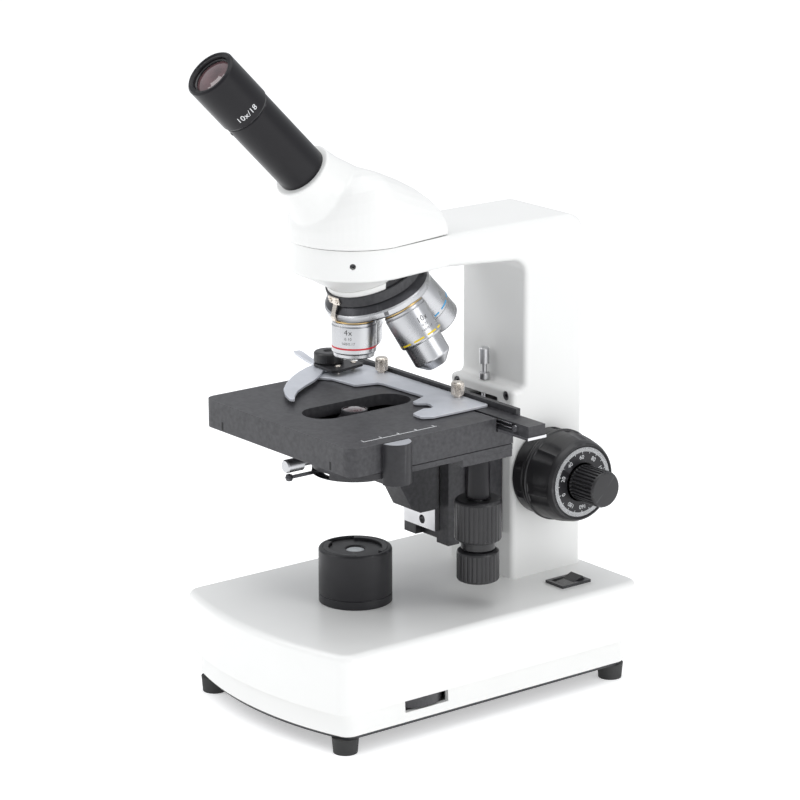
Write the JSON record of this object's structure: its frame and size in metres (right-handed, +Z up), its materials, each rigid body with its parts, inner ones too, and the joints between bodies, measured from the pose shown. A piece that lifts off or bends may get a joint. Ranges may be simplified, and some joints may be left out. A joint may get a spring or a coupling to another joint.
{
  "type": "compound microscope",
  "caption": "Upright monocular compound microscope with inclined eyepiece, revolving nosepiece, mechanical stage, condenser and lit base.",
  "frame": {"origin": "on the surface the feet stand on, under the middle of the whole object", "axes": "+Z up along the optical axis, -Y towards the user at the front of the stand, +X to the user's right"},
  "size_m": [0.1922, 0.2506, 0.3759],
  "materials": {
    "white_enamel": "smooth satin white enamel with a faint orange-peel texture",
    "dark_sheet": "matt black sheet metal",
    "black_rubber": "matt black rubber",
    "crinkle_black": "fine crinkle black enamel",
    "satin_black": "satin black anodised metal",
    "black_plastic": "matt black moulded plastic",
    "gloss_black": "glossy black moulded plastic",
    "chrome": "bright chrome plate",
    "satin_steel": "satin nickel-plated steel",
    "brass": "machined brass",
    "optical_glass": "coated optical glass",
    "frosted_glass": "ground glass light window",
    "ceramic": "white glazed lamp socket",
    "transformer_core": "varnished laminations",
    "green_board": "green circuit board"
  },
  "bodies": {
    "stand": {"base_cover": "white_enamel", "base_tray": "white_enamel", "bottom_plate": "dark_sheet", "rubber_feet": "black_rubber", "lamp_housing": "satin_black", "lamp_cap": "satin_black", "field_lens": "frosted_glass", "lamp_bulb": "optical_glass", "lamp_socket": "ceramic", "transformer": "transformer_core", "circuit_board": "green_board", "dimmer_potentiometer": "black_plastic", "rocker_frame": "black_plastic", "power_inlet": "black_plastic", "arm_casting": "white_enamel", "stand_screws": "satin_steel", "stop_screw": "satin_steel", "slide_guides": "satin_steel", "shaft_bushes": "brass", "nosepiece_base": "crinkle_black", "click_clip": "chrome"},
    "dimmer": {"dimmer_wheel": "black_plastic"},
    "rocker": {"rocker_button": "gloss_black"},
    "head": {"head_shell": "white_enamel", "head_mount_ring": "satin_steel", "head_prism": "optical_glass", "eyepiece_tube": "satin_black", "eyepiece": "gloss_black", "eyepiece_lenses": "optical_glass"},
    "nosepiece": {"turret": "chrome", "objective_4x": "chrome", "objective_10x": "chrome", "objective_40x": "chrome", "objective_100x": "chrome", "objective_lenses": "optical_glass"},
    "stage_lift": {"focus_slide": "crinkle_black", "focus_rack": "satin_steel", "stage_base": "crinkle_black"},
    "coarse_drive": {"coarse_knobs": "black_plastic", "coarse_shaft": "satin_steel", "focus_pinion": "brass"},
    "fine_drive": {"fine_knobs": "black_plastic", "fine_shaft": "satin_steel"},
    "tension": {"tension_ring": "black_plastic"},
    "y_table": {"stage_plate": "crinkle_black"},
    "x_carriage": {"carriage_bar": "satin_black", "carriage_steel": "satin_steel", "slide_holder": "satin_steel", "thumb_screws": "satin_steel", "finger_mount": "satin_steel"},
    "finger": {"spring_finger": "satin_steel"},
    "y_drive": {"stage_y_knob": "black_plastic"},
    "x_drive": {"stage_x_knob": "black_plastic"},
    "condenser_lift": {"condenser_slide": "satin_steel", "condenser_holder": "crinkle_black", "condenser": "satin_black", "condenser_lens": "optical_glass", "condenser_screw": "chrome"},
    "condenser_drive": {"condenser_knob": "black_plastic"},
    "iris": {"iris_lever": "chrome"}
  },
  "joints": [
    {"name": "dimmer_turn", "type": "hinge", "parent": "stand", "child": "dimmer", "pos_m": [0.0542, -0.0271, 0.02], "axis": [0, 0, 1], "range_deg": [0, 270]},
    {"name": "rocker_tip", "type": "hinge", "parent": "stand", "child": "rocker", "pos_m": [0.054, 0.0899, 0.0582], "axis": [1, 0, 0], "range_deg": [-26, 0]},
    {"name": "head_turn", "type": "hinge", "parent": "stand", "child": "head", "pos_m": [0.0025, -0.0226, 0.266], "axis": [0, 0, 1], "continuous": true},
    {"name": "turret_turn", "type": "hinge", "parent": "stand", "child": "nosepiece", "pos_m": [0.0025, -0.0041, 0.2279], "axis": [0, 0.3746, -0.9272], "continuous": true},
    {"name": "stage_focus", "type": "slide", "parent": "stand", "child": "stage_lift", "axis": [0, 0, 1], "range_m": [-0.0135, 0.004]},
    {"name": "coarse_turn", "type": "hinge", "parent": "stand", "child": "coarse_drive", "pos_m": [0.0025, 0.0917, 0.1203], "axis": [1, 0, 0], "range_deg": [-32, 104]},
    {"name": "fine_turn", "type": "hinge", "parent": "stand", "child": "fine_drive", "pos_m": [0.0025, 0.0917, 0.1203], "axis": [1, 0, 0], "continuous": true},
    {"name": "tension_turn", "type": "hinge", "parent": "stand", "child": "tension", "pos_m": [0.0355, 0.0917, 0.1203], "axis": [1, 0, 0], "range_deg": [-30, 30]},
    {"name": "stage_y", "type": "slide", "parent": "stage_lift", "child": "y_table", "axis": [0, 1, 0], "range_m": [-0.02, 0.02]},
    {"name": "stage_x", "type": "slide", "parent": "y_table", "child": "x_carriage", "axis": [1, 0, 0], "range_m": [-0.04, 0.02]},
    {"name": "finger_open", "type": "hinge", "parent": "x_carriage", "child": "finger", "pos_m": [-0.0661, 0.0114, 0.1735], "axis": [0, 0, 1], "range_deg": [-28, 0], "stiffness_Nm_per_rad": 0.02, "springref_deg": 28.65},
    {"name": "y_knob_turn", "type": "hinge", "parent": "stage_lift", "child": "y_drive", "pos_m": [0.0525, 0.0247, 0.11], "axis": [0, 0, 1], "range_deg": [-180, 180]},
    {"name": "x_knob_turn", "type": "hinge", "parent": "stage_lift", "child": "x_drive", "pos_m": [0.0525, 0.0247, 0.082], "axis": [0, 0, 1], "range_deg": [-360, 180]},
    {"name": "condenser_focus", "type": "slide", "parent": "stage_lift", "child": "condenser_lift", "axis": [0, 0, 1], "range_m": [-0.012, 0]},
    {"name": "condenser_knob_turn", "type": "hinge", "parent": "stage_lift", "child": "condenser_drive", "pos_m": [-0.0255, 0.0479, 0.112], "axis": [1, 0, 0], "range_deg": [-145, 5]},
    {"name": "iris_turn", "type": "hinge", "parent": "condenser_lift", "child": "iris", "pos_m": [0.0025, -0.0226, 0.137], "axis": [0, 0, 1], "range_deg": [-14, 20]}
  ],
  "couplings": [
    {"joint": "coarse_turn", "follows": "stage_focus", "rad_per_m": -130.9},
    {"joint": "y_knob_turn", "follows": "stage_y", "rad_per_m": 154},
    {"joint": "x_knob_turn", "follows": "stage_x", "rad_per_m": 154},
    {"joint": "condenser_knob_turn", "follows": "condenser_focus", "rad_per_m": 200}
  ]
}
